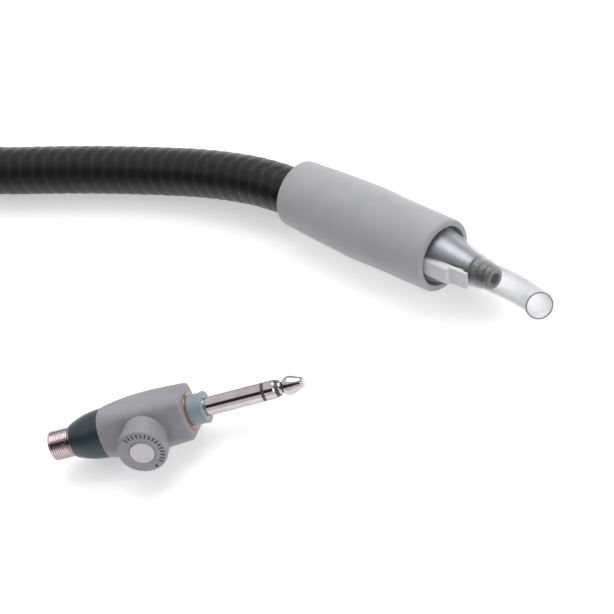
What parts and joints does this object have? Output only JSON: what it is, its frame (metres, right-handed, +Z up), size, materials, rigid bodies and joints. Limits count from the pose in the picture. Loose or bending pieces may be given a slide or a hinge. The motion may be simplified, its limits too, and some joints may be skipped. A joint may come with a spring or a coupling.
{
  "type": "dental handpiece with flexible hose and plug-in connector",
  "caption": "Flexible-hose dental handpiece: soft grip, clear bent tip, ribbed hose with screw coupling, and a three-pole plug connector with dial and button.",
  "frame": {"origin": "under the centre of the box round the handpiece and the connector, on the surface they lie on", "axes": "+X along the grip towards the tip, +Z up from the surface"},
  "size_m": [0.3787, 0.2203, 0.0251],
  "materials": {
    "grip_silicone": "matte moulded silicone",
    "hose_rubber": "ribbed satin",
    "satin_aluminium": "satin turned",
    "clear_plastic": "clear polycarbonate",
    "tab_plastic": "moulded",
    "dark_steel": "turned",
    "spring_steel": "bright drawn",
    "seal_rubber": "matte",
    "acetal": "moulded",
    "soft_line": "soft tube",
    "body_plastic": "fine moulded",
    "cover_plastic": "satin moulded",
    "bush_plastic": "moulded",
    "nickel": "bright nickel plate",
    "copper": "turned copper",
    "brass": "turned",
    "insulator": "moulded",
    "button_plastic": "moulded",
    "board": "glass-filled board",
    "gold": "gold plate",
    "lead_sheath": "insulated wire"
  },
  "bodies": {
    "handpiece": {"grip_sleeve": "grip_silicone", "chassis_tube": "satin_aluminium", "hose_ferrule": "spring_steel", "hose_stem": "brass", "air_tube": "soft_line", "seal_carrier": "acetal", "rotary_seal": "seal_rubber", "nose_bush": "acetal", "hose": "hose_rubber", "end_ferrule": "spring_steel", "end_stem": "brass", "coupling_gasket": "seal_rubber", "socket_carrier": "insulator"},
    "nose": {"nose_core": "satin_aluminium", "nose_cone": "clear_plastic", "nose_clip": "spring_steel", "tab_spring": "spring_steel", "tip_spigot": "dark_steel", "tip_o_rings": "seal_rubber"},
    "release_tab": {"release_tab": "tab_plastic"},
    "tip": {"tip_tube": "clear_plastic", "tip_collar": "clear_plastic"},
    "coupling_nut": {"coupling_nut": "nickel"},
    "dial": {"dial_knob": "body_plastic", "dial_shaft": "brass", "pot_wiper": "spring_steel", "button_spring": "spring_steel"},
    "button": {"centre_button": "button_plastic"},
    "connector": {"connector_body": "body_plastic", "tail_cover": "cover_plastic", "threaded_stem": "nickel", "stem_retainer": "spring_steel", "pin_carrier": "insulator", "contact_pins": "gold", "copper_ring": "copper", "plug_bush": "bush_plastic", "plug_sleeve": "nickel", "rear_insulator": "insulator", "ring_contact": "nickel", "front_insulator": "insulator", "tip_contact": "nickel", "solder_lugs": "brass", "branch_bush": "brass", "pot_base": "insulator", "pot_track": "seal_rubber", "tact_switch": "insulator", "circuit_board": "board", "tail_leads": "lead_sheath", "plug_leads": "lead_sheath"}
  },
  "joints": [
    {"name": "nose_swivel", "type": "hinge", "parent": "handpiece", "child": "nose", "pos_m": [0.02243, 0.05084, 0.01256], "axis": [1, 0, 0], "continuous": true},
    {"name": "tip_pull", "type": "slide", "parent": "nose", "child": "tip", "axis": [1, 0, 0], "range_m": [0, 0.01]},
    {"name": "tab_press", "type": "slide", "parent": "nose", "child": "release_tab", "axis": [0, 0.829, -0.5592], "range_m": [0, 0.0006], "stiffness_N_per_m": 500, "springref_m": -0.001, "deforming": ["tab_spring"]},
    {"name": "connector_dock", "type": "slide", "parent": "handpiece", "child": "connector", "axis": [-0.7869, -0.617, 0], "range_m": [0, 0.0344]},
    {"name": "nut_spin", "type": "hinge", "parent": "handpiece", "child": "coupling_nut", "pos_m": [-0.08933, -0.07643, 0.01016], "axis": [0.7869, 0.617, 0], "continuous": true},
    {"name": "dial_turn", "type": "hinge", "parent": "connector", "child": "dial", "pos_m": [-0.04117, -0.03866, 0.01016], "axis": [0.5721, -0.7296, 0.3746], "range_deg": [0, 270]},
    {"name": "button_press", "type": "slide", "parent": "dial", "child": "button", "axis": [-0.5721, 0.7296, -0.3746], "range_m": [0, 0.001], "stiffness_N_per_m": 600, "springref_m": -0.001, "deforming": ["button_spring"]}
  ]
}
